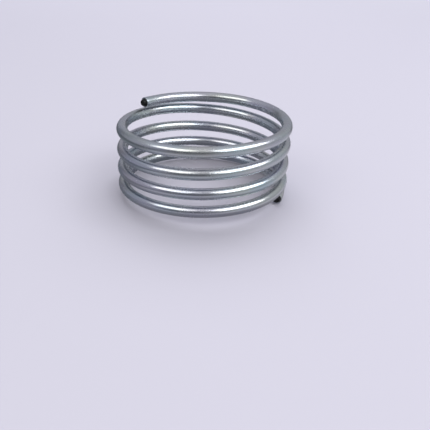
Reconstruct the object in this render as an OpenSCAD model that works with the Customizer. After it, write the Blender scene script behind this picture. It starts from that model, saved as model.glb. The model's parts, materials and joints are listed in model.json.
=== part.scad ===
// Immersion chilling coil: one bare helical coil of plated steel tube, closed up at
// both ends, with a rubber plug pushed into each square-cut tube end.
// Origin: on the coil's axis, in the plane that the coil stands on. +Z is up.

/* [Tube] */
// Outside diameter of the tube
tube_od = 9.5; // [8:0.1:12]
// Thickness of the tube's wall
tube_wall = 1; // [0.6:0.05:1.5]
// Straight length at each cut end, where a hose or fitting goes on
tube_end_length = 10; // [8:0.5:20]

/* [Coil] */
// Diameter over the outside of the turns
coil_od = 152; // [110:1:260]
// Turns of curved tube between the two straight ends
turns = 4.42; // [3:0.01:8]
// Direction of the top of the curved tube, counter-clockwise from +X
top_angle = 136.5; // [0:1:359]
// Height of the gap between a sleeve's path off each end and the turn beside it
end_gap = 0.7; // [0.7:0.05:3]
// How far the top end is drawn in towards the axis
top_draw_in = 3; // [0:0.1:6]
// How far the bottom end is drawn in towards the axis
bottom_draw_in = 1.3; // [0:0.1:6]
// Drop per turn where the end turns are closed up
closed_pitch = 5.5; // [0:0.1:7]
// Drop per turn where the top turn opens out
top_pitch = 18.4; // [14:0.1:26]
// Drop per turn before the bottom turn closes up
bottom_pitch = 15.3; // [14:0.1:26]

/* [Plugs] */
// Radial clearance between a plug's stem and the tube's bore
plug_clearance = 0.05; // [0.01:0.01:0.1]
// Length of a plug's stem inside the tube
plug_stem_length = 8; // [5:0.5:9]
// Length of the lead-in chamfer on a plug's stem
plug_lead_in = 0.8; // [0.4:0.1:1.5]
// Depth of the shoulder that leaves a plug's head narrower than its stem
plug_shoulder = 0.3; // [0.1:0.05:0.6]
// How far a plug's head stands out of the tube
plug_head_length = 2.8; // [2:0.1:8]
// How much the head's radius narrows from the tube's mouth to the tip
plug_head_taper = 0.6; // [0.2:0.05:1.2]
// Chamfer on the head's tip
plug_chamfer = 0.6; // [0.3:0.05:0.9]

/* [Detail] */
// Rings of facets in each turn of the curved tube
rings_per_turn = 36; // [24:2:40]
// Sides of the curved tube's outside
outer_sides = 16; // [12:2:20]
// Sides of the curved tube's bore
inner_sides = 12; // [8:2:14]

/* [Hidden] */
$fn = 64;

tube_r = tube_od / 2;
bore_r = tube_r - tube_wall;
coil_r = coil_od / 2 - tube_r;
full_circle = 360;

turn_length = 2 * PI * coil_r;

// A sleeve that slides off an end in a straight line crosses the next turn there, one
// tube and the gap away from it. Up to the crossing the coil drops at closed_pitch first
// and then at the open pitch, which sets how much of the end turn stays closed.
end_drop = tube_od + end_gap;
straight_turns = tube_end_length / turn_length;
draw_in_turns = 0.25;
blend_turns = 0.3;
function crossing_turns(draw_in) =
    max(straight_turns, acos(1 - draw_in / coil_r) / full_circle);
function closed_turns(pitch, draw_in) =
    (pitch - end_drop) / (pitch - closed_pitch) - crossing_turns(draw_in);
top_closed_turns = closed_turns(top_pitch, top_draw_in);
bottom_closed_turns = closed_turns(bottom_pitch, bottom_draw_in);

// Between the first and the last whole turn, the pitch changes at a steady rate.
pitch_growth = (bottom_pitch - top_pitch) / (turns - 2);

// How far each straight end runs back over the curved tube, and how far the facets
// stay inside its true round wall there.
end_overlap = 0.5;
facet_relief = 0.02;

// A ramp that starts at x = 0, with its corner rounded to a parabola.
function soft_ramp(x) =
    let (half = blend_turns / 2)
    x < -half ? 0 : x > half ? x : pow(x + half, 2) / (2 * blend_turns);

// The area under soft_ramp, which gives a drop whose slope grows steadily.
function soft_ramp_area(x) =
    let (half = blend_turns / 2)
    x < -half ? 0
    : x > half ? pow(x, 2) / 2 + pow(blend_turns, 2) / 24
    : pow(x + half, 3) / (6 * blend_turns);

// How far the tube's centre line has dropped after u turns from the top.
function drop_at(u) =
    closed_pitch * u
    + (top_pitch - closed_pitch) * soft_ramp(u - top_closed_turns)
    + pitch_growth * (soft_ramp_area(u - 1) - soft_ramp_area(u - turns + 1))
    - (bottom_pitch - closed_pitch) * soft_ramp(u - turns + bottom_closed_turns);

function radial_at(u) =
    let (angle = top_angle - full_circle * u) [cos(angle), sin(angle), 0];

// Rises from 0 to 1 with a level start and finish.
function ease(x) = let (t = min(max(x, 0), 1)) t * t * (3 - 2 * t);

function radius_at(u) =
    coil_r
    - top_draw_in * ease(1 - u / draw_in_turns)
    - bottom_draw_in * ease(1 - (turns - u) / draw_in_turns);

function centre_at(u) = radius_at(u) * radial_at(u) + [0, 0, top_z - drop_at(u)];

// Unit direction of the centre line at u turns, pointing down the coil.
function heading_at(u) =
    let (step = 0.0001, run = centre_at(u + step) - centre_at(u - step)) run / norm(run);

// The lower tube end is the lowest point: its underside rests on the standing plane.
end_turn_length = turn_length * (coil_r - bottom_draw_in) / coil_r;
closed_run = norm([end_turn_length, closed_pitch]);
end_fall = tube_end_length * closed_pitch / closed_run;
top_z = drop_at(turns) + end_fall + tube_r * end_turn_length / closed_run;

// Radius of a polygon that has the area of a circle, so that the tube keeps its weight.
function equal_area_r(r, sides) = r * sqrt(2 * PI / (sides * sin(full_circle / sides)));

// Points of one ring of the tube's wall: a polygon square to the centre line.
function ring(u, r, sides) =
    let (
        centre = centre_at(u),
        heading = heading_at(u),
        flat = cross(radial_at(u), heading),
        up = flat / norm(flat),
        out = cross(heading, up)
    ) [for (i = [0 : sides - 1])
        let (turn = full_circle * i / sides) centre + r * (cos(turn) * out + sin(turn) * up)];

// Quads that join ring after ring along the tube.
function skin_faces(first, rings, sides, outward) = [
    for (j = [0 : rings - 2], i = [0 : sides - 1])
        let (
            here = first + j * sides,
            next = here + sides,
            k = (i + 1) % sides,
            quad = [here + i, here + k, next + k, next + i]
        ) outward ? quad : [for (n = [3 : -1 : 0]) quad[n]]
];

// Triangles that close an end between the outer ring and the bore's ring.
function rim_faces(outer_first, inner_first, forward) =
    let (steps = outer_sides + inner_sides)
    [for (t = [0 : steps - 1])
        let (
            i = rim_outer_steps(t),
            k = t - i,
            o = outer_first + i % outer_sides,
            n = inner_first + k % inner_sides,
            takes_outer = rim_outer_steps(t + 1) > i,
            tip = takes_outer
                ? outer_first + (i + 1) % outer_sides
                : inner_first + (k + 1) % inner_sides,
            face = [o, n, tip]
        ) forward ? face : [face[2], face[1], face[0]]];

// Of the first t triangles round a rim, how many have an edge on the outer ring.
function rim_outer_steps(t) = round(t * outer_sides / (outer_sides + inner_sides));

module curved_tube() {
    rings = ceil(turns * rings_per_turn) + 1;
    last = rings - 1;
    joint_outer_r = tube_r - facet_relief;
    joint_inner_r = bore_r / cos(full_circle / 2 / inner_sides) + facet_relief;
    mid_outer_r = equal_area_r(tube_r, outer_sides);
    mid_inner_r = equal_area_r(bore_r, inner_sides);
    outer_points = [for (j = [0 : last])
        let (r = j == 0 || j == last ? joint_outer_r : mid_outer_r)
        each ring(turns * j / last, r, outer_sides)];
    inner_points = [for (j = [0 : last])
        let (r = j == 0 || j == last ? joint_inner_r : mid_inner_r)
        each ring(turns * j / last, r, inner_sides)];
    inner_first = len(outer_points);
    last_outer = last * outer_sides;
    last_inner = inner_first + last * inner_sides;
    polyhedron(
        points = concat(outer_points, inner_points),
        faces = concat(
            skin_faces(0, rings, outer_sides, true),
            skin_faces(inner_first, rings, inner_sides, false),
            rim_faces(0, inner_first, true),
            rim_faces(last_outer, last_inner, false)
        ),
        convexity = 12
    );
}

// Places its children at a tube end, with +Z along the tube and out of the coil.
module at_end(u, way) {
    along = way * heading_at(u);
    out = radial_at(u);
    side = cross(along, out);
    centre = centre_at(u);
    multmatrix([
        [out.x, side.x, along.x, centre.x],
        [out.y, side.y, along.y, centre.y],
        [out.z, side.z, along.z, centre.z],
        [0, 0, 0, 1]
    ]) children();
}

module at_top_end() { at_end(0, -1) children(); }

module at_bottom_end() { at_end(turns, 1) children(); }

// Straight stretch of tube with a square-cut mouth.
module straight_end() {
    translate([0, 0, -end_overlap])
    difference() {
        cylinder(r = tube_r, h = tube_end_length + end_overlap);
        translate([0, 0, -1]) cylinder(r = bore_r, h = tube_end_length + end_overlap + 2);
    }
}

// Plug: a stem that fills the bore, and a narrower tapered head that stands out of it.
module end_plug() {
    stem_r = bore_r - plug_clearance;
    head_r = stem_r - plug_shoulder;
    tip_r = head_r - plug_head_taper;
    translate([0, 0, tube_end_length])
    rotate_extrude()
    polygon([
        [0, -plug_stem_length],
        [stem_r - plug_lead_in, -plug_stem_length],
        [stem_r, plug_lead_in - plug_stem_length],
        [stem_r, -plug_shoulder],
        [head_r, 0],
        [tip_r, plug_head_length - plug_chamfer],
        [tip_r - plug_chamfer, plug_head_length],
        [0, plug_head_length]
    ]);
}

module coil_tube() {
    color("silver")
    union() {
        curved_tube();
        at_top_end() straight_end();
        at_bottom_end() straight_end();
    }
}

module upper_end_plug() {
    color("dimgray")
    at_top_end() end_plug();
}

module lower_end_plug() {
    color("dimgray")
    at_bottom_end() end_plug();
}

coil_tube();
upper_end_plug();
lower_end_plug();
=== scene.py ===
"""Studio scene of an immersion chilling coil: plated steel tube with a rubber plug in each end.

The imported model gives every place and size. The coil's drawn tube and its two moulded
plugs are rebuilt here as fine surfaces that stand for the plain solids.
"""

import json
import logging
import math
from dataclasses import dataclass, field
from enum import Enum
from functools import cached_property

import bpy
import numpy as np
from mathutils import Matrix, Vector


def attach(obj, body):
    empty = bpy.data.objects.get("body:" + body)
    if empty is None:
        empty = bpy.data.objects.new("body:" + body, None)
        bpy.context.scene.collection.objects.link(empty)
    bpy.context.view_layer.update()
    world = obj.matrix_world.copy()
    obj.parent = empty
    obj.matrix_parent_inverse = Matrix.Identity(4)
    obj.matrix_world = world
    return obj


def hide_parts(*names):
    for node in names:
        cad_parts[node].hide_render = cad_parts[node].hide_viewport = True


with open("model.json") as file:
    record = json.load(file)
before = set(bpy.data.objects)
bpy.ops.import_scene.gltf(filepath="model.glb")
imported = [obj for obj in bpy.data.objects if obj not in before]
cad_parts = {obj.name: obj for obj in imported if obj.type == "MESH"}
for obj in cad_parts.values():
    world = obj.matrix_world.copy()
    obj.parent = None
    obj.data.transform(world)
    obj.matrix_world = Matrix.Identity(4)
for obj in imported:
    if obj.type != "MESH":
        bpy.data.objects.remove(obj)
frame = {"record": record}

log = logging.getLogger("chiller")

Array = np.ndarray
Colour = tuple[float, float, float]
Direction = tuple[float, float, float]
Range = tuple[float, float]
Socket = bpy.types.NodeSocket

MM = 0.001
FULL_TURN = 2.0 * math.pi
PLACE = "place"
BLACK = (0.0, 0.0, 0.0)
CORNER_POINTS = 6


class Body(Enum):
    """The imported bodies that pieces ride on."""

    COIL = "coil"
    UPPER_PLUG = "upper_plug"
    LOWER_PLUG = "lower_plug"


class End(Enum):
    """The two cut ends of the tube, by the mount that marks each one."""

    UPPER = "upper_tube_end"
    LOWER = "lower_tube_end"


class Slot(Enum):
    """The record's material slots."""

    TUBE = "plated_tube"
    PLUG = "plug_rubber"


# ---------------------------------------------------------------- surfaces


def ease(x: Array) -> Array:
    """Rises from 0 to 1 over x = 0 to 1, level at both ends: 3x^2 - 2x^3."""
    t = np.clip(x, 0.0, 1.0)
    return t * t * (3.0 - 2.0 * t)


def unit(v: Array) -> Array:
    """Vectors in the last axis, scaled to length 1."""
    return v / np.linalg.norm(v, axis=-1, keepdims=True)


def corner_arc(centre: tuple[float, float], radius: float, start: float, stop: float) -> Array:
    """A rounded corner of a profile: centre + radius * (cos, sin) of evenly spaced angles.

    Args:
        centre: Middle of the arc in the profile's plane.
        radius: Radius of the corner.
        start: First angle in degrees.
        stop: Last angle in degrees.

    Returns:
        Points of the arc, one per row.
    """
    angle = np.radians(np.linspace(start, stop, CORNER_POINTS))
    return np.array(centre) + radius * np.stack([np.cos(angle), np.sin(angle)], axis=1)


def ring_faces(rings: int, sides: int, closed: bool) -> Array:
    """Quads that join each ring of a surface to the next one, as an index array.

    Args:
        rings: How many rings the surface has.
        sides: How many points each ring has.
        closed: Whether the last ring joins the first one.

    Returns:
        One row of four point indices per quad.
    """
    last = rings if closed else rings - 1
    ring, side = np.meshgrid(np.arange(last), np.arange(sides), indexing="ij")
    after, beside = (ring + 1) % rings, (side + 1) % sides
    corners = (
        ring * sides + side,
        ring * sides + beside,
        after * sides + beside,
        after * sides + side,
    )
    return np.stack([c.ravel() for c in corners], axis=1)


def fan_faces(pole: int, first: int, sides: int) -> Array:
    """Triangles from a pole point to the ring whose first point is given."""
    side = np.arange(sides)
    return np.stack([np.full(sides, pole), first + (side + 1) % sides, first + side], axis=1)


def signed_volume(points: Array, triangles: Array) -> float:
    """Sum of a . (b x c) / 6 over the triangles: positive when they face outward."""
    a, b, c = (points[triangles[:, k]] for k in range(3))
    return float(np.einsum("ij,ij->", a, np.cross(b, c)) / 6.0)


def make_piece(
    name: str, points: Array, quads: Array, triangles: Array, place: Array
) -> bpy.types.Object:
    """Makes a smooth mesh object at the origin, facing outward.

    Args:
        name: Name of the piece.
        points: One point per row, in metres.
        quads: Four point indices per row.
        triangles: Three point indices per row, possibly none.
        place: Each point's place on the straightened piece, kept as an attribute.

    Returns:
        The new object.
    """
    halves = np.concatenate([quads[:, [0, 1, 2]], quads[:, [0, 2, 3]], triangles])
    if signed_volume(points, halves) < 0.0:
        quads, triangles = quads[:, ::-1], triangles[:, ::-1]
    mesh = bpy.data.meshes.new(name)
    mesh.from_pydata(points.tolist(), [], quads.tolist() + triangles.tolist())
    places = mesh.attributes.new(PLACE, "FLOAT_VECTOR", "POINT")
    places.data.foreach_set("vector", place.astype(np.float32).ravel())
    mesh.shade_smooth()
    piece = bpy.data.objects.new(name, mesh)
    bpy.context.scene.collection.objects.link(piece)
    return piece


# ---------------------------------------------------------------- the coil's path


@dataclass(frozen=True)
class Mouth:
    """One cut end of the tube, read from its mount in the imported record."""

    point: Array
    axis: Array
    radius: float
    length: float

    @classmethod
    def of(cls, end: End) -> "Mouth":
        """Reads the mount of an end.

        Args:
            end: Which end of the tube.

        Returns:
            The mouth, with its sizes in metres.
        """
        mount = next(m for m in frame["record"]["mounts"] if m["name"] == end.value)
        dims = mount["dims"]
        return cls(
            point=np.array(mount["pos_m"]),
            axis=unit(np.array(mount["axis"])),
            radius=dims["r_mm"] * MM,
            length=dims["length_mm"] * MM,
        )

    @property
    def rim(self) -> Array:
        """Centre of the cut face."""
        return self.point + self.axis * self.length / 2.0


@dataclass(frozen=True)
class Wave:
    """One slow sine wave along the coil, as hand winding leaves."""

    size: float
    rate: float
    start: float = 0.0

    def at(self, u: Array) -> Array:
        """Its height after u turns: size * sin(rate * u + start)."""
        return self.size * np.sin(self.rate * u + self.start)


@dataclass
class CoilPath:
    """Centre line of the tube: closed-up end turns, open turns between, straight ends.

    Turns are counted down from the top of the curved tube, and the helix is right-handed:
    it runs clockwise, seen from above, as it goes down.
    """

    upper: Mouth
    lower: Mouth
    turns: float = 4.42
    top_angle: float = math.radians(136.5)
    end_length: float = 10.0 * MM
    end_gap: float = 0.7 * MM
    top_draw_in: float = 3.0 * MM
    bottom_draw_in: float = 1.3 * MM
    closed_pitch: float = 5.5 * MM
    top_pitch: float = 18.4 * MM
    bottom_pitch: float = 15.3 * MM
    draw_in_turns: float = 0.25
    blend_turns: float = 0.3
    waver_fade_turns: float = 0.6
    outward_waver: tuple[Wave, ...] = (Wave(0.22 * MM, 7.3, 0.4), Wave(0.132 * MM, 17.9, 2.0))
    upward_waver: tuple[Wave, ...] = (Wave(0.154 * MM, 5.1, 1.1), Wave(0.11 * MM, 14.3))
    heading_step: float = 0.05 * MM

    @cached_property
    def coil_radius(self) -> float:
        """Radius of the turns' centre line: where the top end bends, plus its draw-in."""
        bend = self.upper.rim - self.end_length * self.upper.axis
        return math.hypot(bend[0], bend[1]) + self.top_draw_in

    @property
    def turn_length(self) -> float:
        """Length of one whole turn seen from above."""
        return FULL_TURN * self.coil_radius

    @property
    def length(self) -> float:
        """Length of the whole tube, straight ends included."""
        return self.turns * self.turn_length + 2.0 * self.end_length

    def closed_turns(self, pitch: float, draw_in: float) -> float:
        """How much of an end turn stays closed, so that a sleeve slides off straight past it.

        The sleeve's line crosses the next turn one tube and the gap away from it. Up to the
        crossing, the coil drops at closed_pitch first and then at the open pitch.
        """
        apart = 2.0 * self.upper.radius + self.end_gap
        crossing = math.acos(1.0 - draw_in / self.coil_radius) / FULL_TURN
        crossing = max(crossing, self.end_length / self.turn_length)
        return (pitch - apart) / (pitch - self.closed_pitch) - crossing

    def ramp(self, x: Array) -> Array:
        """max(x, 0), with its corner rounded to a parabola one blend long."""
        half = self.blend_turns / 2.0
        corner = (x + half) ** 2 / (2.0 * self.blend_turns)
        return np.where(x < -half, 0.0, np.where(x > half, x, corner))

    def ramp_area(self, x: Array) -> Array:
        """Area under the ramp up to x: a drop whose slope grows steadily."""
        half = self.blend_turns / 2.0
        beyond = x**2 / 2.0 + self.blend_turns**2 / 24.0
        corner = (x + half) ** 3 / (6.0 * self.blend_turns)
        return np.where(x < -half, 0.0, np.where(x > half, beyond, corner))

    def drop(self, u: Array) -> Array:
        """How far the centre line has dropped after u turns.

        It drops by closed_pitch per turn, then by top_pitch, then at a pitch that changes
        steadily to bottom_pitch, and by closed_pitch again at the end.
        """
        growth = (self.bottom_pitch - self.top_pitch) / (self.turns - 2.0)
        opens = self.closed_turns(self.top_pitch, self.top_draw_in)
        closes = self.turns - self.closed_turns(self.bottom_pitch, self.bottom_draw_in)
        return (
            self.closed_pitch * u
            + (self.top_pitch - self.closed_pitch) * self.ramp(u - opens)
            + growth * (self.ramp_area(u - 1.0) - self.ramp_area(u - self.turns + 1.0))
            - (self.bottom_pitch - self.closed_pitch) * self.ramp(u - closes)
        )

    def curved(self, u: Array) -> Array:
        """Centre of the curved tube u turns from its top: radius * (cos, sin), less the drop.

        A hand-wound coil isn't quite round, so slow sine waves shift it by a fraction of a
        millimetre, and fade out towards both ends.
        """
        angle = self.top_angle - FULL_TURN * u
        left = self.turns - u
        fade = ease(u / self.waver_fade_turns) * ease(left / self.waver_fade_turns)
        radius = (
            self.coil_radius
            - self.top_draw_in * ease(1.0 - u / self.draw_in_turns)
            - self.bottom_draw_in * ease(1.0 - left / self.draw_in_turns)
            + fade * sum(wave.at(u) for wave in self.outward_waver)
        )
        top = self.upper.rim[2] - self.end_length * self.upper.axis[2]
        height = top - self.drop(u) + fade * sum(wave.at(u) for wave in self.upward_waver)
        return np.stack([radius * np.cos(angle), radius * np.sin(angle), height], axis=-1)

    def centre(self, s: Array) -> Array:
        """Centre of the tube at a distance s from the upper mouth, straight ends included."""
        run = self.turns * self.turn_length
        u = np.clip((s - self.end_length) / self.turn_length, 0.0, self.turns)
        before = np.clip(self.end_length - s, 0.0, None)[..., None]
        after = np.clip(s - self.end_length - run, 0.0, None)[..., None]
        return self.curved(u) + before * self.upper.axis + after * self.lower.axis

    def section_axes(self, s: Array) -> tuple[Array, Array]:
        """Unit directions across the tube at s: away from the coil's axis, and up.

        The heading is the centre line's central difference. Up is square to it and to the
        direction away from the axis, and out is square to the heading and up.
        """
        heading = unit(self.centre(s + self.heading_step) - self.centre(s - self.heading_step))
        centre = self.centre(s)
        away = unit(centre * np.array([1.0, 1.0, 0.0]))
        up = unit(np.cross(away, heading))
        return np.cross(heading, up), up


# ---------------------------------------------------------------- shader groups


class Effect(Enum):
    """The shader node groups that the finishes share."""

    CLOUDS = "soft_clouds"
    LINES = "drawn_lines"
    SPECKS = "fine_specks"


class Graph:
    """A thin helper that adds and links nodes in one node tree."""

    def __init__(self, tree: bpy.types.NodeTree) -> None:
        """Keeps the tree that nodes are added to."""
        self.tree = tree

    def add(self, kind: str, **settings: object) -> bpy.types.Node:
        """Adds a node.

        Args:
            kind: The node's type name, without its ShaderNode prefix unless it has none.
            **settings: Values for the node's own properties.

        Returns:
            The new node.
        """
        prefix = "" if kind.startswith("Node") else "ShaderNode"
        node = self.tree.nodes.new(prefix + kind)
        for name, value in settings.items():
            setattr(node, name, value)
        return node

    def feed(self, socket: Socket, value: object) -> None:
        """Links a socket to another one, or sets its value."""
        if isinstance(value, Socket):
            self.tree.links.new(value, socket)
        else:
            socket.default_value = value

    def noise(
        self, vector: Socket, scale: object, detail: float = 2.0, roughness: float = 0.5
    ) -> Socket:
        """A noise texture's value over a vector, about 0.5 on average."""
        node = self.add("TexNoise")
        self.feed(node.inputs["Vector"], vector)
        self.feed(node.inputs["Scale"], scale)
        node.inputs["Detail"].default_value = detail
        node.inputs["Roughness"].default_value = roughness
        return node.outputs["Fac"]

    def stretch(self, vector: Socket, along: float, shift: float = 0.0) -> Socket:
        """A place vector scaled and then shifted along the piece."""
        node = self.add("Mapping")
        self.feed(node.inputs["Vector"], vector)
        node.inputs["Scale"].default_value = (along, 1.0, 1.0)
        node.inputs["Location"].default_value = (shift, 0.0, 0.0)
        return node.outputs["Vector"]

    def span(
        self, value: Socket, low: object, high: object, to_low: float = 0.0, to_high: float = 1.0
    ) -> Socket:
        """Maps low..high to to_low..to_high, smoothly and clamped."""
        node = self.add("MapRange", interpolation_type="SMOOTHSTEP")
        ends = {"From Min": low, "From Max": high, "To Min": to_low, "To Max": to_high}
        for name, given in {"Value": value, **ends}.items():
            self.feed(node.inputs[name], given)
        return node.outputs["Result"]

    def maths(self, operation: str, *values: object) -> Socket:
        """One arithmetic operation on its values, in order."""
        node = self.add("Math", operation=operation)
        for socket, value in zip(node.inputs, values):
            self.feed(socket, value)
        return node.outputs["Value"]

    def blend(self, amount: object, a: object, b: object) -> Socket:
        """Colour a where amount is 0, b where it is 1."""
        node = self.add("Mix", data_type="RGBA")
        self.feed(node.inputs["Factor"], amount)
        for name, colour in (("A", a), ("B", b)):
            self.feed(node.inputs[name], colour if isinstance(colour, Socket) else (*colour, 1.0))
        return next(o for o in node.outputs if o.type == "RGBA")

    def along(self, vector: Socket, direction: Direction) -> Socket:
        """How far a vector reaches in a direction: their dot product."""
        node = self.add("VectorMath", operation="DOT_PRODUCT")
        self.feed(node.inputs[0], vector)
        node.inputs[1].default_value = direction
        return node.outputs["Value"]

    def tint(self, mask: Socket, amount: float, a: object, b: object) -> Socket:
        """Colour a, turned towards b by the given amount where the mask is 1."""
        return self.blend(self.maths("MULTIPLY", mask, amount), a, b)

    def relief(self, shader: bpy.types.Node, height: Socket, strength: float, depth: float) -> None:
        """Raises a shader's surface by a height, as a Bump node of the given depth."""
        bump = self.add("Bump")
        bump.inputs["Strength"].default_value = strength
        bump.inputs["Distance"].default_value = depth
        self.feed(bump.inputs["Height"], height)
        self.feed(shader.inputs["Normal"], bump.outputs["Normal"])

    def effect(self, effect: Effect, **inputs: object) -> Socket:
        """Places a shared group.

        Args:
            effect: Which group.
            **inputs: Value or socket for each input, by its name in lower case.

        Returns:
            The group's only output.
        """
        node = self.add("Group")
        node.node_tree = bpy.data.node_groups[effect.value]
        for name, value in inputs.items():
            self.feed(node.inputs[name.capitalize()], value)
        return node.outputs[0]


@dataclass(frozen=True)
class EffectLibrary:
    """Builds the shader groups that the finishes share."""

    cloud_detail: float = 3.0
    line_detail: float = 3.0
    line_roughness: float = 0.6
    speck_choice: Range = (0.6, 0.8)
    speck_core: float = 0.4

    def open(
        self, effect: Effect, inputs: dict[str, float], output: str
    ) -> tuple[Graph, dict[str, Socket], Socket]:
        """Makes a group with a Place vector, float inputs and one float output.

        Args:
            effect: Which group.
            inputs: Default value of each float input by name.
            output: Name of the output.

        Returns:
            The graph, its input sockets by name, and the socket that takes the result.
        """
        tree = bpy.data.node_groups.new(effect.value, "ShaderNodeTree")
        tree.interface.new_socket("Place", in_out="INPUT", socket_type="NodeSocketVector")
        for name, value in inputs.items():
            socket = tree.interface.new_socket(name, in_out="INPUT", socket_type="NodeSocketFloat")
            socket.default_value = value
        tree.interface.new_socket(output, in_out="OUTPUT", socket_type="NodeSocketFloat")
        graph = Graph(tree)
        given = {o.name: o for o in graph.add("NodeGroupInput").outputs if o.name}
        return graph, given, graph.add("NodeGroupOutput").inputs[output]

    def clouds(self) -> None:
        """Soft patches, from 0 to 1: noise with its contrast raised.

        The noise is spread from half the contrast value below its middle to half above it,
        so a smaller value gives harder patches.
        """
        graph, given, result = self.open(Effect.CLOUDS, {"Scale": 40.0, "Contrast": 0.3}, "Mask")
        patches = graph.noise(given["Place"], given["Scale"], self.cloud_detail)
        low = graph.maths("MULTIPLY_ADD", given["Contrast"], -0.5, 0.5)
        high = graph.maths("MULTIPLY_ADD", given["Contrast"], 0.5, 0.5)
        graph.feed(result, graph.span(patches, low, high))

    def lines(self) -> None:
        """Fine lines along the piece: noise stretched along the place's first axis."""
        graph, given, result = self.open(Effect.LINES, {"Along": 30.0, "Across": 2200.0}, "Height")
        scale = graph.add("CombineXYZ")
        graph.feed(scale.inputs["X"], given["Along"])
        graph.feed(scale.inputs["Y"], given["Across"])
        graph.feed(scale.inputs["Z"], given["Across"])
        scaled = graph.add("VectorMath", operation="MULTIPLY")
        graph.feed(scaled.inputs[0], given["Place"])
        graph.feed(scaled.inputs[1], scale.outputs["Vector"])
        lines = graph.noise(scaled.outputs["Vector"], 1.0, self.line_detail, self.line_roughness)
        graph.feed(result, lines)

    def specks(self) -> None:
        """Scattered small spots, 1 in a spot and 0 elsewhere.

        A spot is where a cell's middle is nearer than the radius, and only cells whose own
        random shade is high enough have one.
        """
        graph, given, result = self.open(Effect.SPECKS, {"Scale": 300.0, "Radius": 0.12}, "Mask")
        cells = graph.add("TexVoronoi")
        graph.feed(cells.inputs["Vector"], given["Place"])
        graph.feed(cells.inputs["Scale"], given["Scale"])
        shade = graph.add("SeparateColor")
        graph.feed(shade.inputs["Color"], cells.outputs["Color"])
        chosen = graph.span(shade.outputs["Red"], *self.speck_choice)
        edge = graph.maths("MULTIPLY", given["Radius"], self.speck_core)
        spot = graph.span(cells.outputs["Distance"], edge, given["Radius"], 1.0, 0.0)
        graph.feed(result, graph.maths("MULTIPLY", spot, chosen))

    def build(self) -> None:
        """Builds every group once."""
        self.clouds()
        self.lines()
        self.specks()


# ---------------------------------------------------------------- finishes


def new_material(name: str) -> tuple[bpy.types.Material, Graph, bpy.types.Node]:
    """A material with nothing but a Principled shader.

    Args:
        name: Name of the material.

    Returns:
        The material, its graph and the shader node.
    """
    material = bpy.data.materials.new(name)
    material.use_nodes = True
    graph = Graph(material.node_tree)
    material.node_tree.nodes.clear()
    shader = graph.add("BsdfPrincipled")
    graph.feed(graph.add("OutputMaterial").inputs["Surface"], shader.outputs["BSDF"])
    return material, graph, shader


@dataclass(frozen=True)
class Film:
    """One tint of the plate's thin film, in soft patches along the tube."""

    colour: Colour
    amount: float
    scale: float
    contrast: float
    shift: float = 0.0


@dataclass(frozen=True)
class ZincPlate:
    """Bright zinc plate on drawn steel, with a faint blue, yellow and violet film."""

    metal: Colour = (0.65, 0.695, 0.74)
    films: tuple[Film, ...] = (
        Film((0.49, 0.63, 0.72), amount=0.75, scale=70.0, contrast=0.5),
        Film((0.75, 0.73, 0.60), amount=0.5, scale=55.0, contrast=0.45, shift=3.1),
        Film((0.64, 0.59, 0.76), amount=0.5, scale=40.0, contrast=0.4, shift=7.7),
    )
    film_stretch: float = 0.45
    stain: Colour = (0.48, 0.49, 0.51)
    speck_scale: float = 200.0
    speck_radius: float = 0.10
    speck_amount: float = 0.4
    streak_along: float = 14.0
    streak_across: float = 500.0
    streak_range: Range = (0.45, 0.8)
    streak_amount: float = 0.3
    haze_scale: float = 120.0
    haze_contrast: float = 0.6
    polished: float = 0.20
    dull: float = 0.29
    line_along: float = 25.0
    line_across: float = 2400.0
    lump_scale: float = 90.0
    lumps_to_lines: float = 8.0
    relief_depth: float = 0.0012 * MM

    def build(self) -> bpy.types.Material:
        """Makes the material.

        Slow clouds along the tube tint the metal, specks and streaks stain it, haze and
        stains dull it, and fine lines along the tube lift it as drawing marks.

        Returns:
            The material.
        """
        material, graph, shader = new_material("bright_zinc_plate")
        place = graph.add("Attribute", attribute_name=PLACE).outputs["Vector"]
        film_place = graph.stretch(place, self.film_stretch)
        colour = self.metal
        for film in self.films:
            patch = graph.stretch(film_place, 1.0, film.shift)
            mask = graph.effect(
                Effect.CLOUDS, place=patch, scale=film.scale, contrast=film.contrast
            )
            colour = graph.tint(mask, film.amount, colour, film.colour)
        specks = graph.effect(
            Effect.SPECKS, place=place, scale=self.speck_scale, radius=self.speck_radius
        )
        streak_lines = graph.effect(
            Effect.LINES, place=place, along=self.streak_along, across=self.streak_across
        )
        streaks = graph.span(streak_lines, *self.streak_range)
        marks = graph.maths(
            "MAXIMUM",
            graph.maths("MULTIPLY", specks, self.speck_amount),
            graph.maths("MULTIPLY", streaks, self.streak_amount),
        )
        graph.feed(shader.inputs["Base Color"], graph.blend(marks, colour, self.stain))
        shader.inputs["Metallic"].default_value = 1.0
        haze = graph.effect(
            Effect.CLOUDS, place=place, scale=self.haze_scale, contrast=self.haze_contrast
        )
        wear = graph.maths("MAXIMUM", haze, marks)
        graph.feed(
            shader.inputs["Roughness"], graph.span(wear, 0.0, 1.0, self.polished, self.dull)
        )
        lines = graph.effect(
            Effect.LINES, place=place, along=self.line_along, across=self.line_across
        )
        lumps = graph.maths("MULTIPLY", graph.noise(place, self.lump_scale), self.lumps_to_lines)
        height = graph.maths("ADD", lines, lumps)
        graph.relief(shader, height, strength=1.0, depth=self.relief_depth)
        return material


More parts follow.
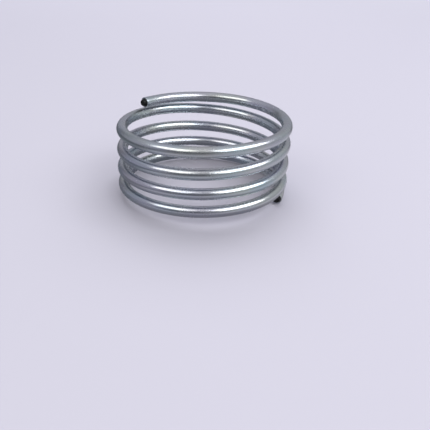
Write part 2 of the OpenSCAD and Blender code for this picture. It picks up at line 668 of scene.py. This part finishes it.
@dataclass(frozen=True)
class MouldedRubber:
    """Black moulded rubber with a little dust and a satin skin."""

    rubber: Colour = (0.005, 0.005, 0.006)
    dust: Colour = (0.022, 0.022, 0.025)
    cloud_scale: float = 500.0
    cloud_contrast: float = 0.5
    cloud_dust: float = 0.25
    speck_scale: float = 1800.0
    speck_radius: float = 0.16
    glossy: float = 0.30
    dull: float = 0.52
    specular_level: float = 0.25
    grain_scale: float = 4000.0
    grain_detail: float = 3.0
    grain_roughness: float = 0.6
    grain_strength: float = 0.4
    grain_depth: float = 0.02 * MM

    def build(self) -> bpy.types.Material:
        """Makes the material: dusty clouds over black, a dull and glossy skin, a fine grain.

        Returns:
            The material.
        """
        material, graph, shader = new_material("black_moulded_rubber")
        place = graph.add("Attribute", attribute_name=PLACE).outputs["Vector"]
        clouds = graph.effect(
            Effect.CLOUDS, place=place, scale=self.cloud_scale, contrast=self.cloud_contrast
        )
        specks = graph.effect(
            Effect.SPECKS, place=place, scale=self.speck_scale, radius=self.speck_radius
        )
        dusty = graph.maths("MAXIMUM", graph.maths("MULTIPLY", clouds, self.cloud_dust), specks)
        graph.feed(shader.inputs["Base Color"], graph.blend(dusty, self.rubber, self.dust))
        graph.feed(
            shader.inputs["Roughness"], graph.span(clouds, 0.0, 1.0, self.glossy, self.dull)
        )
        shader.inputs["Specular IOR Level"].default_value = self.specular_level
        grain = graph.noise(place, self.grain_scale, self.grain_detail, self.grain_roughness)
        graph.relief(shader, grain, strength=self.grain_strength, depth=self.grain_depth)
        return material


# ---------------------------------------------------------------- the object's pieces


@dataclass
class CoilTube:
    """The wound tube: one closed wall, round mouths and all."""

    path: CoilPath
    finish: ZincPlate = field(default_factory=ZincPlate)
    wall: float = 1.0 * MM
    outer_lip: float = 0.28 * MM
    inner_lip: float = 0.2 * MM
    sides: int = 40
    outer_step: float = 1.5 * MM
    inner_step: float = 4.0 * MM
    oval: float = 0.012
    oval_rise: float = 0.6
    round_end: float = 12.0 * MM
    oval_blend: float = 20.0 * MM

    def wall_profile(self) -> Array:
        """The wall cut lengthwise: one closed loop of (distance along the tube, radius).

        It runs along the outside, round the lower mouth's two lips, back through the bore,
        and round the upper mouth's lips.

        Returns:
            One (distance, radius) pair per row.
        """
        outer, length = self.path.upper.radius, self.path.length
        bore = outer - self.wall
        lip, inner = self.outer_lip, self.inner_lip
        along = np.linspace(lip, length - lip, round(length / self.outer_step))
        back = np.linspace(length - inner, inner, round(length / self.inner_step))
        lower_outer = corner_arc((length - lip, outer - lip), lip, 90.0, 0.0)
        lower_inner = corner_arc((length - inner, bore + inner), inner, 0.0, -90.0)
        upper_inner = corner_arc((inner, bore + inner), inner, -90.0, -180.0)
        upper_outer = corner_arc((lip, outer - lip), lip, 180.0, 90.0)
        return np.concatenate([
            np.stack([along, np.full_like(along, outer)], axis=1),
            lower_outer[1:],
            lower_inner,
            np.stack([back, np.full_like(back, bore)], axis=1)[1:-1],
            upper_inner,
            upper_outer[:-1],
        ])

    def build(self) -> bpy.types.Object:
        """Sweeps the wall's profile round the centre line.

        A point is the centre at s, plus radius * (cos a * out + sin a * up). Bending makes
        the section slightly oval, lower across the bend than along the coil's axis, except
        at the straight ends.

        Returns:
            The tube.
        """
        profile = self.wall_profile()
        s, radius = profile[:, 0], profile[:, 1]
        angle = np.linspace(0.0, FULL_TURN, self.sides, endpoint=False)
        centre = self.path.centre(s)
        out, up = self.path.section_axes(s)
        from_end = np.minimum(s, self.path.length - s) - self.round_end
        squash = self.oval * ease(from_end / self.oval_blend)
        across = (radius * (1.0 - squash))[:, None] * np.cos(angle)
        upward = (radius * (1.0 + self.oval_rise * squash))[:, None] * np.sin(angle)
        points = (
            centre[:, None] + across[..., None] * out[:, None] + upward[..., None] * up[:, None]
        )
        along = np.broadcast_to(s[:, None], across.shape)
        straight = radius[:, None]
        place = np.stack([along, straight * np.cos(angle), straight * np.sin(angle)], axis=-1)
        quads = ring_faces(len(s), self.sides, closed=True)
        none = np.empty((0, 3), int)
        return make_piece("wound_tube", points.reshape(-1, 3), quads, none, place.reshape(-1, 3))

    def dress(self, piece: bpy.types.Object) -> bpy.types.Object:
        """Gives the tube its finish and its place in the frame."""
        piece.data.materials.append(self.finish.build())
        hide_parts("coil_tube")
        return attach(piece, Body.COIL.value)


@dataclass
class EndPlug:
    """A push-in rubber plug: ribbed stem in the bore, and a tapered head to pull it by."""

    name: str
    node: str
    body: Body
    mouth: Mouth
    material: bpy.types.Material
    bore: float = 3.75 * MM
    clearance: float = 0.05 * MM
    stem_length: float = 8.0 * MM
    lead_in: float = 0.8 * MM
    rib_depth: float = 0.18 * MM
    rib_count: int = 3
    rib_points: int = 60
    plain_neck: float = 0.8 * MM
    shoulder: float = 0.3 * MM
    shoulder_drop: float = 0.1 * MM
    head_length: float = 2.8 * MM
    head_taper: float = 0.6 * MM
    head_points: int = 8
    edge: float = 0.6 * MM
    sunken_tip: float = 0.3 * MM
    seam_height: float = 0.04 * MM
    seam_width: float = 0.06
    seam_start: float = 0.2 * MM
    seam_rise: float = 0.3 * MM
    sides: int = 64

    def outline(self) -> Array:
        """The plug's outline from the stem's tip to the head's tip.

        The stem has shallow rounded ribs, the shoulder slopes in to the head, and the
        head tapers to a rounded edge and a slightly sunken tip.

        Returns:
            One (distance out of the mouth, radius) pair per row, both ends on the axis.
        """
        stem = self.bore - self.clearance
        head = stem - self.shoulder
        tip = head - self.head_taper
        edge = self.edge
        ribs = np.linspace(self.lead_in - self.stem_length, -self.plain_neck, self.rib_points)
        turn = FULL_TURN * self.rib_count * np.linspace(0.0, 1.0, self.rib_points)
        wave = 0.5 - 0.5 * np.cos(turn)
        crown = np.linspace(tip - edge, 0.0, self.head_points)
        sink = self.sunken_tip * (1.0 - (crown / crown[0]) ** 2)
        side = np.linspace(0.0, 1.0, self.head_points)
        return np.concatenate([
            [[-self.stem_length, 0.0], [-self.stem_length, stem - self.lead_in]],
            np.stack([ribs, stem - self.rib_depth * (1.0 - wave)], axis=1),
            [[-self.shoulder, stem - self.shoulder_drop]],
            np.stack([side * (self.head_length - edge), head - self.head_taper * side], axis=1),
            corner_arc((self.head_length - edge, tip - edge), edge, 90.0, 0.0)[1:],
            np.stack([self.head_length - sink, crown], axis=1)[1:],
        ])

    def build(self) -> bpy.types.Object:
        """Turns the outline about the mouth's axis, with a thin mould seam along two sides.

        A point is rim + along * axis + radius * (cos a * side + sin a * up).

        Returns:
            The plug.
        """
        outline = self.outline()
        rings = outline[1:-1]
        angle = np.linspace(0.0, FULL_TURN, self.sides, endpoint=False)
        axis = self.mouth.axis
        side = unit(np.cross(axis, np.array([0.0, 0.0, 1.0])))
        up = np.cross(side, axis)
        seam = self.seam_height * np.exp(-((np.sin(angle) / self.seam_width) ** 2))
        outside = ease((rings[:, 0] - self.seam_start) / self.seam_rise)[:, None]
        radius = rings[:, 1][:, None] + outside * seam
        spoke = np.cos(angle)[:, None] * side + np.sin(angle)[:, None] * up
        points = self.mouth.rim + rings[:, 0][:, None, None] * axis + radius[..., None] * spoke
        along = np.broadcast_to(rings[:, 0][:, None], radius.shape)
        place = np.stack([along, radius * np.cos(angle), radius * np.sin(angle)], axis=-1)
        poles = self.mouth.rim + outline[[0, -1], 0][:, None] * axis
        pole_place = np.stack([outline[[0, -1], 0], np.zeros(2), np.zeros(2)], axis=1)
        count = radius.size
        triangles = np.concatenate([
            fan_faces(count, 0, self.sides),
            fan_faces(count + 1, count - self.sides, self.sides)[:, ::-1],
        ])
        return make_piece(
            self.name,
            np.concatenate([points.reshape(-1, 3), poles]),
            ring_faces(len(rings), self.sides, closed=False),
            triangles,
            np.concatenate([place.reshape(-1, 3), pole_place]),
        )

    def dress(self, piece: bpy.types.Object) -> bpy.types.Object:
        """Gives the plug its finish and its place in the frame."""
        piece.data.materials.append(self.material)
        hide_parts(self.node)
        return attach(piece, self.body.value)


@dataclass
class ChillingCoil:
    """The whole object: the wound tube and its two plugs."""

    upper: Mouth
    lower: Mouth

    def build(self) -> list[bpy.types.Object]:
        """Builds and dresses every piece.

        Returns:
            The pieces, in the order they were made.
        """
        path = CoilPath(self.upper, self.lower)
        miss = np.linalg.norm(path.centre(np.array([path.length])) - self.lower.rim)
        log.info("coil radius %.2f mm", path.coil_radius / MM)
        log.info("lower mouth %.3f mm off its mount", miss / MM)
        tube = CoilTube(path)
        pieces = [tube.dress(tube.build())]
        rubber = MouldedRubber().build()
        plugs = (
            EndPlug("upper_plug_moulding", "upper_end_plug", Body.UPPER_PLUG, self.upper, rubber),
            EndPlug("lower_plug_moulding", "lower_end_plug", Body.LOWER_PLUG, self.lower, rubber),
        )
        pieces += [plug.dress(plug.build()) for plug in plugs]
        return pieces


# ---------------------------------------------------------------- the studio


@dataclass(frozen=True)
class Softbox:
    """A large soft area light that faces the coil."""

    name: str
    azimuth: float
    elevation: float
    distance: float
    width: float
    height: float
    power: float
    colour: Colour
    reflected: bool = True

    def build(self, target: Vector) -> bpy.types.Object:
        """Hangs the light.

        Args:
            target: The point that it faces.

        Returns:
            The light.
        """
        data = bpy.data.lights.new(self.name, "AREA")
        data.shape = "RECTANGLE"
        data.size = self.width
        data.size_y = self.height
        data.energy = self.power
        data.color = self.colour
        light = bpy.data.objects.new(self.name, data)
        turn, lift = math.radians(self.azimuth), math.radians(self.elevation)
        level = math.cos(lift)
        away = Vector((level * math.cos(turn), level * math.sin(turn), math.sin(lift)))
        light.location = target + self.distance * away
        light.rotation_euler = away.to_track_quat("Z", "Y").to_euler()
        light.visible_glossy = self.reflected
        bpy.context.scene.collection.objects.link(light)
        return light


@dataclass(frozen=True)
class Viewpoint:
    """The camera: where it stands and how it is turned from facing the coil's middle."""

    distance: float = 478.3 * MM
    elevation: float = 21.21
    target_height: float = 36.0 * MM
    pan: float = -1.43
    tilt: float = -6.77
    roll: float = -1.95
    focal: float = 44.48
    sensor: float = 36.0
    nearest: float = 10.0 * MM

    def build(self) -> bpy.types.Object:
        """Makes the scene's camera.

        It faces the target from the front, then turns about its own up, right and forward
        directions in that order.

        Returns:
            The camera.
        """
        data = bpy.data.cameras.new("camera")
        data.lens = self.focal
        data.sensor_width = self.sensor
        data.clip_start = self.nearest
        camera = bpy.data.objects.new("camera", data)
        lift = math.radians(self.elevation)
        back = Vector((0.0, -math.cos(lift), math.sin(lift)))
        right = Vector((1.0, 0.0, 0.0))
        forward, up = -back, back.cross(right)
        pan = Matrix.Rotation(math.radians(self.pan), 3, up)
        forward, right = pan @ forward, pan @ right
        tilt = Matrix.Rotation(math.radians(self.tilt), 3, right)
        forward, up = tilt @ forward, tilt @ up
        roll = Matrix.Rotation(math.radians(self.roll), 3, forward)
        right, up = roll @ right, roll @ up
        turned = Matrix((right, up, -forward)).transposed().to_4x4()
        place = Vector((0.0, 0.0, self.target_height)) + self.distance * back
        camera.matrix_world = Matrix.Translation(place) @ turned
        bpy.context.scene.collection.objects.link(camera)
        bpy.context.scene.camera = camera
        return camera


@dataclass(frozen=True)
class Studio:
    """A pale floor, a dim room that the metal reflects, and soft lights."""

    floor_colour: Colour = (0.465, 0.455, 0.525)
    floor_roughness: float = 0.9
    floor_specular: float = 0.1
    floor_size: float = 6.0
    floor_cells: int = 6
    floor_drop: float = 0.1 * MM
    backdrop: Colour = (0.72, 0.71, 0.83)
    fade_range: Range = (0.9, 2.4)
    ambient: Colour = (0.60, 0.60, 0.62)
    # painted reflection: colours that the floor glows with for glossy rays, with a painted shadow
    # under the coil, painted shade far off and behind left, and painted light on the right
    painted_reflected_floor: Colour = (0.54, 0.54, 0.60)
    painted_reflected_shadow: Colour = (0.20, 0.20, 0.23)
    shadow_range: Range = (0.075, 0.155)
    painted_reflected_far: Colour = (0.20, 0.20, 0.22)
    far_range: Range = (0.10, 0.26)
    painted_reflected_right: Colour = (0.62, 0.62, 0.66)
    right_direction: Direction = (1.0, 0.0, 0.0)
    right_range: Range = (0.02, 0.16)
    right_amount: float = 0.6
    painted_shade_behind_left: Colour = (0.09, 0.10, 0.12)
    behind_direction: Direction = (-0.6, 0.8, 0.0)
    behind_range: Range = (-0.02, 0.06)
    behind_amount: float = 0.7
    room_low: Colour = (0.09, 0.095, 0.11)
    room_high: Colour = (0.52, 0.52, 0.56)
    room_height_range: Range = (0.15, 0.95)
    wall_amount: float = 0.8
    wall_right: Colour = (0.46, 0.49, 0.50)
    wall_right_range: Range = (0.0, 0.8)
    wall_left: Colour = (0.40, 0.39, 0.46)
    wall_left_range: Range = (-1.0, -0.5)
    wall_back: Colour = (0.40, 0.40, 0.44)
    wall_back_range: Range = (0.70, 0.93)
    lit_point: Direction = (0.0, 0.0, 36.0 * MM)
    softboxes: tuple[Softbox, ...] = (
        Softbox(
            "key_softbox",
            azimuth=-33.0,
            elevation=46.0,
            distance=1.5,
            width=1.6,
            height=0.72,
            power=12.0,
            colour=(1.0, 1.0, 1.0),
        ),
        Softbox(
            "fill_softbox",
            azimuth=-139.0,
            elevation=46.0,
            distance=1.5,
            width=1.2,
            height=0.72,
            power=4.8,
            colour=(1.0, 0.97, 0.9),
        ),
        Softbox(
            "backdrop_light",
            azimuth=85.0,
            elevation=50.0,
            distance=2.6,
            width=3.0,
            height=2.0,
            power=58.0,
            colour=(0.97, 0.97, 1.0),
            reflected=False,
        ),
    )

    def floor(self) -> bpy.types.Object:
        """Lays a flat pale floor just under the coil, as a square grid of cells.

        Returns:
            The floor.
        """
        half = self.floor_size / 2.0
        across = self.floor_cells + 1
        line = np.linspace(-half, half, across)
        x, y = np.meshgrid(line, line, indexing="ij")
        points = np.stack([x, y, np.full_like(x, -self.floor_drop)], axis=-1).reshape(-1, 3)
        cell = np.arange(self.floor_cells)
        first = (cell[:, None] * across + cell).ravel()
        quads = np.stack([first, first + across, first + across + 1, first + 1], axis=1)
        mesh = bpy.data.meshes.new("floor")
        mesh.from_pydata(points.tolist(), [], quads.tolist())
        piece = bpy.data.objects.new("floor", mesh)
        bpy.context.scene.collection.objects.link(piece)
        mesh.materials.append(self.paper())
        return piece

    def reflected(self, graph: Graph, place: Socket, reach: Socket) -> Socket:
        """The painted reflection that the metal sees in place of the floor: a glow of set colours.

        It is painted dark in the coil's shadow, painted bright round it, painted dim past the set
        and behind left, and painted pale on the right.

        Args:
            graph: Graph of the floor's material.
            place: Place on the floor.
            reach: Distance from the coil's axis.

        Returns:
            The painted reflection's colour.
        """
        # painted shadow: the reflected floor is darker under and inside the coil
        clear = graph.span(reach, *self.shadow_range)
        painted_reflection = graph.blend(clear, self.painted_reflected_shadow, self.painted_reflected_floor)
        painted_reflection = graph.blend(graph.span(reach, *self.far_range), painted_reflection, self.painted_reflected_far)
        # painted light: the reflected floor is paler on the right
        right = graph.span(graph.along(place, self.right_direction), *self.right_range)
        painted_reflection = graph.tint(right, self.right_amount, painted_reflection, self.painted_reflected_right)
        # painted shade: the reflected floor is darker behind left
        behind = graph.span(graph.along(place, self.behind_direction), *self.behind_range)
        return graph.tint(behind, self.behind_amount, painted_reflection, self.painted_shade_behind_left)

    def paper(self) -> bpy.types.Material:
        """Makes the floor's matt pale paper.

        Far from the coil it fades into the backdrop, and reflections see it as a painted glow of
        its own, with painted shadow, shade and light, so that they stay free of noise.

        Returns:
            The material.
        """
        material, graph, shader = new_material("pale_paper_and_painted_reflection")
        shader.inputs["Roughness"].default_value = self.floor_roughness
        shader.inputs["Specular IOR Level"].default_value = self.floor_specular
        place = graph.add("TexCoord").outputs["Object"]
        length = graph.add("VectorMath", operation="LENGTH")
        graph.feed(length.inputs[0], place)
        reach = length.outputs["Value"]
        rays = graph.add("LightPath").outputs
        glossy = rays["Is Glossy Ray"]
        faded = graph.span(reach, *self.fade_range)
        paper = graph.blend(faded, self.floor_colour, BLACK)
        faded_view = graph.maths("MULTIPLY", faded, rays["Is Camera Ray"])
        glow = graph.blend(faded_view, BLACK, self.backdrop)
        # painted reflection: glossy rays see this set glow instead of the lit floor
        painted_reflection = self.reflected(graph, place, reach)
        graph.feed(shader.inputs["Base Color"], graph.blend(glossy, paper, BLACK))
        graph.feed(shader.inputs["Emission Color"], graph.blend(glossy, glow, painted_reflection))
        shader.inputs["Emission Strength"].default_value = 1.0
        return material

    def room(self) -> bpy.types.World:
        """Makes the surroundings: pale to the camera, bright to matt things, dim to metal.

        Metal sees a room that brightens upward, with paler walls right, left and behind.

        Returns:
            The world.
        """
        world = bpy.data.worlds.new("room")
        world.use_nodes = True
        graph = Graph(world.node_tree)
        world.node_tree.nodes.clear()
        background = graph.add("Background")
        output = graph.add("OutputWorld")
        graph.feed(output.inputs["Surface"], background.outputs["Background"])
        split = graph.add("SeparateXYZ")
        graph.feed(split.inputs["Vector"], graph.add("TexCoord").outputs["Generated"])
        x, y, z = split.outputs
        rays = graph.add("LightPath").outputs
        dim = graph.blend(graph.span(z, *self.room_height_range), self.room_low, self.room_high)
        walls = (
            (graph.span(x, *self.wall_right_range), self.wall_right),
            (graph.span(x, *self.wall_left_range, 1.0, 0.0), self.wall_left),
            (graph.span(y, *self.wall_back_range), self.wall_back),
        )
        for mask, wall in walls:
            dim = graph.tint(mask, self.wall_amount, dim, wall)
        light = graph.blend(rays["Is Diffuse Ray"], dim, self.ambient)
        shown = graph.blend(rays["Is Camera Ray"], light, self.backdrop)
        graph.feed(background.inputs["Color"], shown)
        bpy.context.scene.world = world
        return world

    def build(self) -> None:
        """Sets the whole studio."""
        self.floor()
        self.room()
        for softbox in self.softboxes:
            softbox.build(Vector(self.lit_point))
        Viewpoint().build()
        bpy.context.scene.view_settings.view_transform = "Standard"


def main() -> None:
    """Builds the coil and the studio, and reports each piece."""
    logging.basicConfig(level=logging.INFO, format="%(message)s")
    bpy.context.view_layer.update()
    EffectLibrary().build()
    coil = ChillingCoil(Mouth.of(End.UPPER), Mouth.of(End.LOWER))
    for piece in coil.build():
        log.info("%s: %d faces", piece.name, len(piece.data.polygons))
    Studio().build()


if __name__ == "__main__":
    main()
